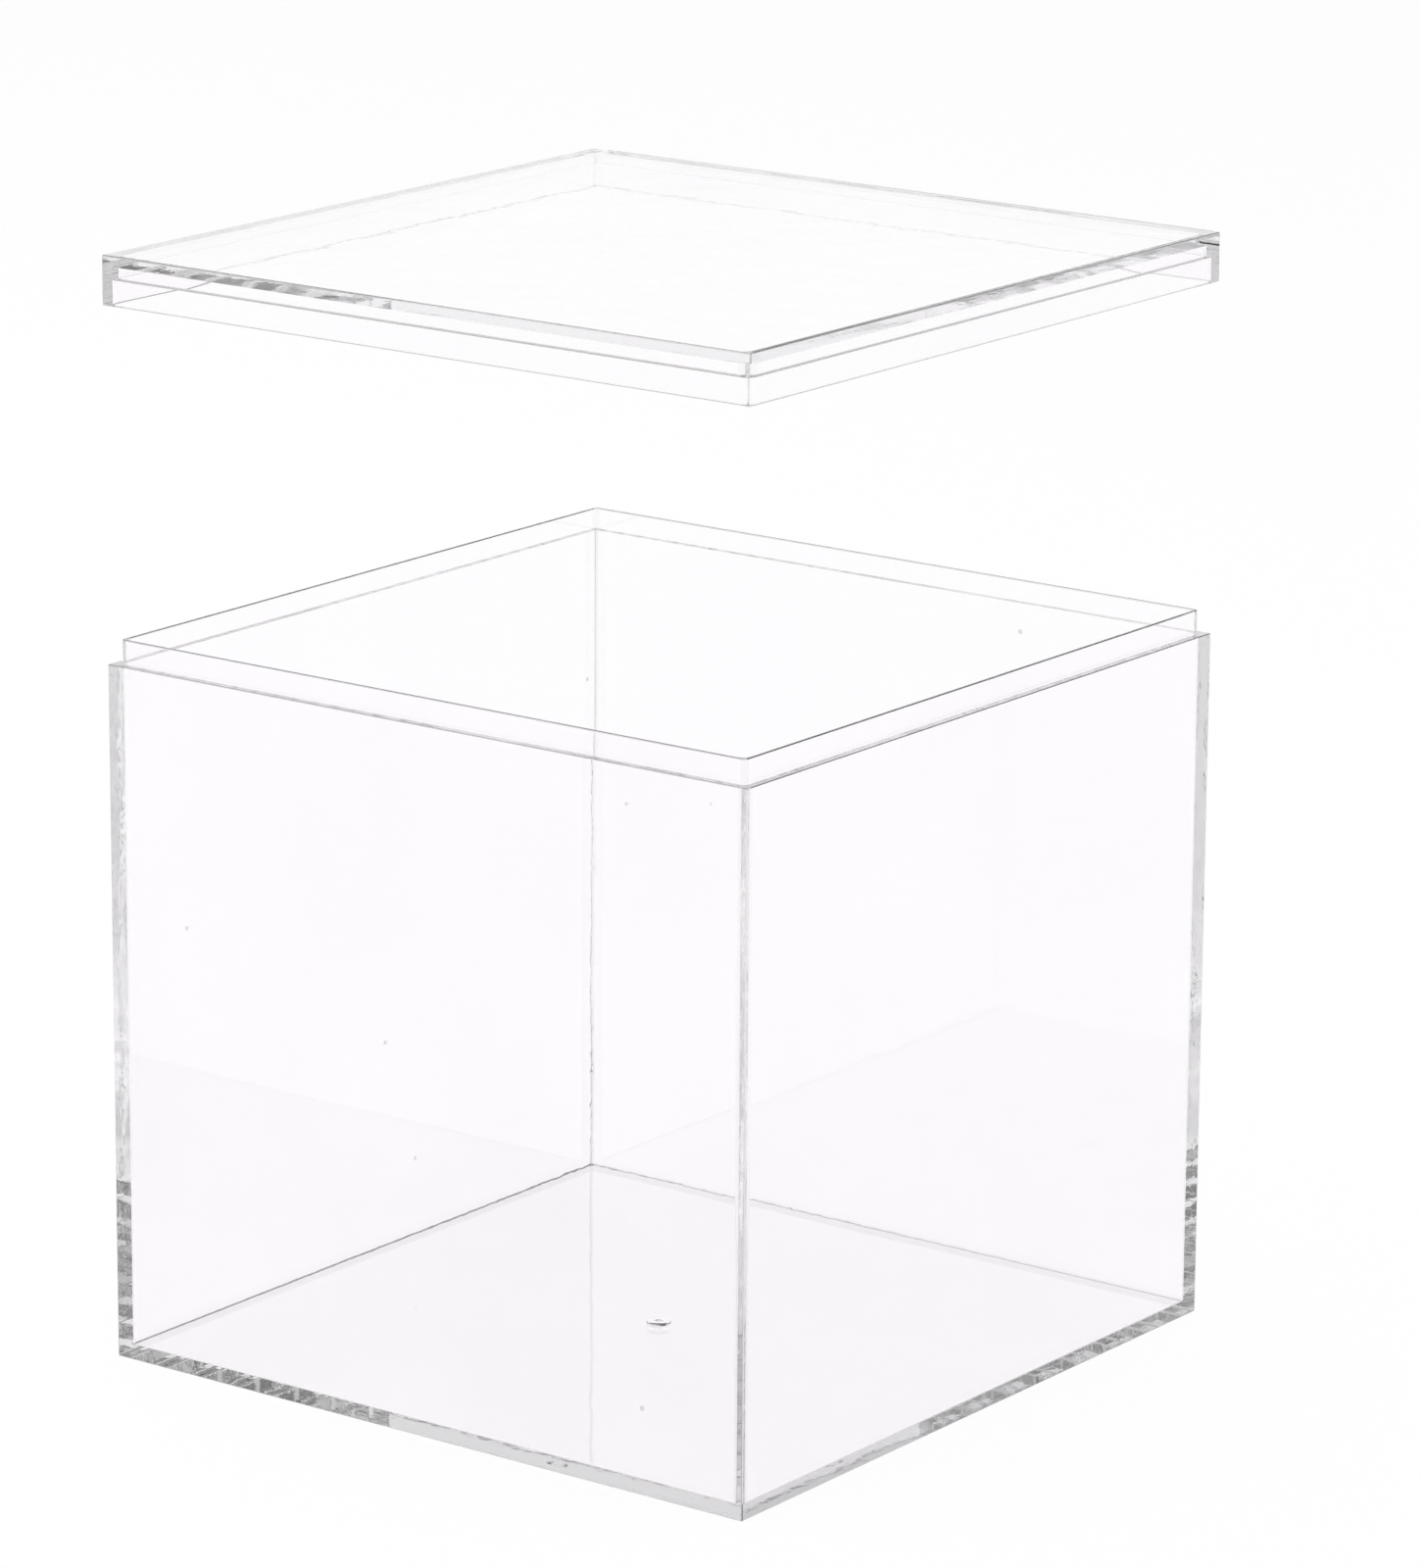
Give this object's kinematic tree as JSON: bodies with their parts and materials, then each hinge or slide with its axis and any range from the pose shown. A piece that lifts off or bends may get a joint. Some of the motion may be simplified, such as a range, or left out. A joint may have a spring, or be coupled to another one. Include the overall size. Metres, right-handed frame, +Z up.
{
  "type": "storage box",
  "caption": "Clear square storage box with a thin set-in rim and a lift-off lid whose skirt slips over the rim and closes flush with the walls.",
  "frame": {"origin": "centre of the box's base, on the surface it stands on", "axes": "+Z up, the way the lid lifts; +X and +Y square to two neighbouring walls"},
  "size_m": [0.12, 0.12, 0.1726],
  "materials": {
    "clear_acrylic": "clear, polished as moulded"
  },
  "bodies": {
    "box": {"box_body": "clear_acrylic"},
    "lid": {"lid": "clear_acrylic"}
  },
  "joints": [
    {"name": "lid_lift", "type": "slide", "parent": "box", "child": "lid", "axis": [0, 0, 1], "range_m": [-0.055, 0]}
  ]
}
